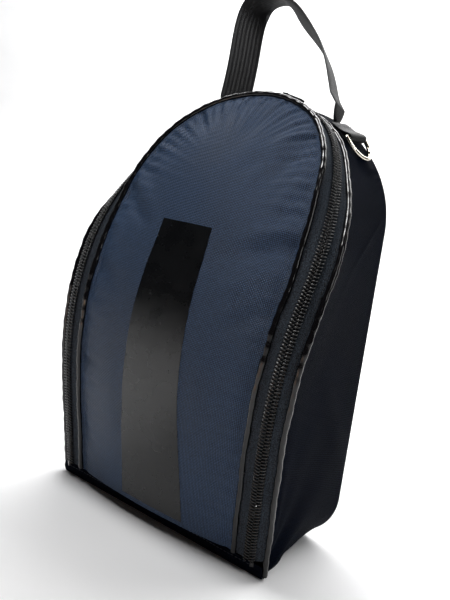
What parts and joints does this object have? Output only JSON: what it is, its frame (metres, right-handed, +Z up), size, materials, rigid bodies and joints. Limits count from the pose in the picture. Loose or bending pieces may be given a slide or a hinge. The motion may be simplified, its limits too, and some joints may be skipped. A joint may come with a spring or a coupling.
{
  "type": "shoe bag",
  "caption": "Padded shoe bag with a zipped dome-topped front flap, gloss piping, a webbing carry handle on top and a webbing tab holding a D-shaped ring.",
  "frame": {"origin": "centre of the bounding box, at the ground", "axes": "+Z up, -Y towards the zipped front, +X towards the side with the ring tab"},
  "size_m": [0.2184, 0.1678, 0.4171],
  "materials": {
    "oxford_front": "dark blue coated oxford weave with a soft sheen",
    "oxford_side": "near-black coated oxford weave",
    "zip_tape": "dark grey woven zip tape",
    "nylon_coil": "black nylon monofilament",
    "zip_stop": "black moulded stop",
    "gloss_vinyl": "glossy black vinyl",
    "filler_cord": "undyed filler cord",
    "binding": "matte black bias tape",
    "foam": "thin light grey padding",
    "lining": "plain black lining",
    "webbing": "black ribbed webbing",
    "black_metal": "black enamelled die-cast zinc",
    "nickel": "bright nickel plate"
  },
  "bodies": {
    "bag": {"zip_tape_body": "zip_tape", "zip_coil_body": "nylon_coil", "body_piping": "gloss_vinyl", "body_piping_cord": "filler_cord", "body_seam_binding": "binding", "gusset": "oxford_side", "gusset_lining": "lining", "back_panel": "oxford_side", "back_lining": "lining", "back_seam_binding": "binding", "base_panel": "oxford_side", "base_lining": "lining", "front_sill": "oxford_front", "zip_stop_left": "zip_stop", "zip_stop_right": "zip_stop", "ring_tab": "webbing"},
    "flap": {"front_panel": "oxford_front", "front_foam": "foam", "front_lining": "lining", "front_piping": "gloss_vinyl", "front_piping_cord": "filler_cord", "flap_seam_binding": "binding", "zip_tape_flap": "zip_tape", "zip_coil_flap": "nylon_coil"},
    "slider_left": {"zip_slider_left": "black_metal"},
    "slider_right": {"zip_slider_right": "black_metal"},
    "pull_left": {"zip_pull_left": "black_metal"},
    "pull_right": {"zip_pull_right": "black_metal"},
    "d_ring": {"d_ring": "nickel"},
    "handle": {"handle": "webbing"}
  },
  "joints": [
    {"name": "flap_hinge", "type": "hinge", "parent": "bag", "child": "flap", "pos_m": [0, -0.03801, 0.00993], "axis": [1, 0, 0], "range_deg": [0, 68]},
    {"name": "slider_left_run", "type": "hinge", "parent": "bag", "child": "slider_left", "pos_m": [0, -0.04787, 0.25714], "axis": [0, -0.9063, 0.4226], "range_deg": [0, 48]},
    {"name": "slider_right_run", "type": "hinge", "parent": "bag", "child": "slider_right", "pos_m": [0, -0.04787, 0.25714], "axis": [0, 0.9063, -0.4226], "range_deg": [0, 48]},
    {"name": "pull_left_swing", "type": "hinge", "parent": "slider_left", "child": "pull_left", "pos_m": [-0.00645, -0.01467, 0.334], "axis": [-0.0288, 0.9982, -0.0533], "range_deg": [0, 90]},
    {"name": "pull_right_swing", "type": "hinge", "parent": "slider_right", "child": "pull_right", "pos_m": [0.00645, -0.01467, 0.334], "axis": [-0.0288, -0.9982, 0.0533], "range_deg": [0, 90]},
    {"name": "d_ring_swing", "type": "hinge", "parent": "bag", "child": "d_ring", "pos_m": [0.06059, 0.00683, 0.31343], "axis": [0.002, -0.9758, -0.2184], "range_deg": [0, 130]},
    {"name": "handle_swing", "type": "hinge", "parent": "bag", "child": "handle", "pos_m": [-0.0065, 0.0061, 0.33464], "axis": [1, 0, 0], "range_deg": [-62, 75]}
  ]
}
